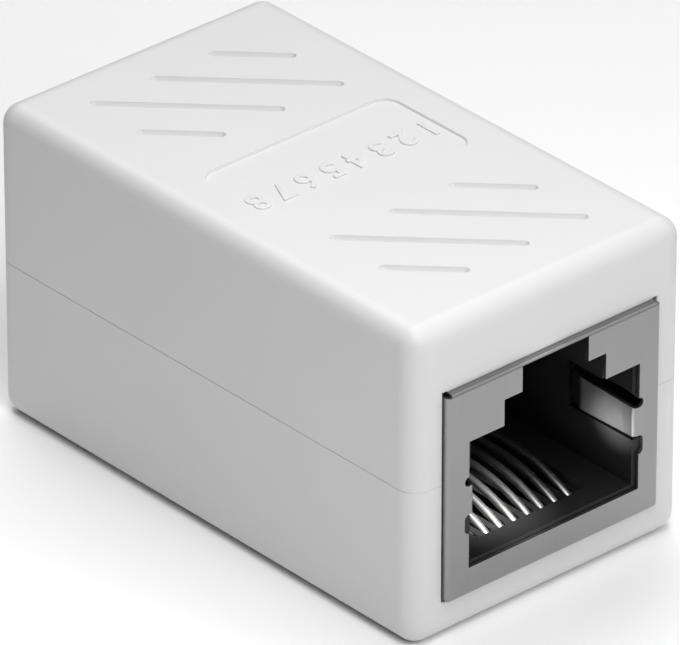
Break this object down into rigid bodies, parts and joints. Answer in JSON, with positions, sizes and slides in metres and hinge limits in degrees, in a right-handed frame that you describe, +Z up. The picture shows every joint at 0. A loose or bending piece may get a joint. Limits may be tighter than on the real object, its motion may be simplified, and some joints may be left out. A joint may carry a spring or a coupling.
{
  "type": "ethernet inline coupler",
  "caption": "White moulded inline coupler that joins network leads end to end: a shielded, keyed socket in each end, a parting line round the middle and slanted grooves on top.",
  "frame": {"origin": "middle of the base, on the surface that it stands on", "axes": "+X along the body, out of the front socket; +Z up, on the side of the grooves and the latches"},
  "size_m": [0.0358, 0.02, 0.0198],
  "materials": {
    "white_abs": "injection moulded, satin",
    "plated_sheet": "stamped sheet, nickel plated, satin",
    "black_pbt": "injection moulded, slightly glossy",
    "contact_strip": "stamped spring strip, bright plated",
    "board_laminate": "glass laminate with solder mask"
  },
  "bodies": {
    "root": {"upper_shell": "white_abs", "lower_shell": "white_abs", "circuit_board": "board_laminate", "front_jack_shield": "plated_sheet", "front_jack_housing": "black_pbt", "front_contact_carrier": "black_pbt", "rear_jack_shield": "plated_sheet", "rear_jack_housing": "black_pbt", "rear_contact_carrier": "black_pbt", "front_contact_1": "contact_strip", "front_contact_2": "contact_strip", "front_contact_3": "contact_strip", "front_contact_4": "contact_strip", "front_contact_5": "contact_strip", "front_contact_6": "contact_strip", "front_contact_7": "contact_strip", "front_contact_8": "contact_strip", "rear_contact_1": "contact_strip", "rear_contact_2": "contact_strip", "rear_contact_3": "contact_strip", "rear_contact_4": "contact_strip", "rear_contact_5": "contact_strip", "rear_contact_6": "contact_strip", "rear_contact_7": "contact_strip", "rear_contact_8": "contact_strip"}
  },
  "joints": []
}
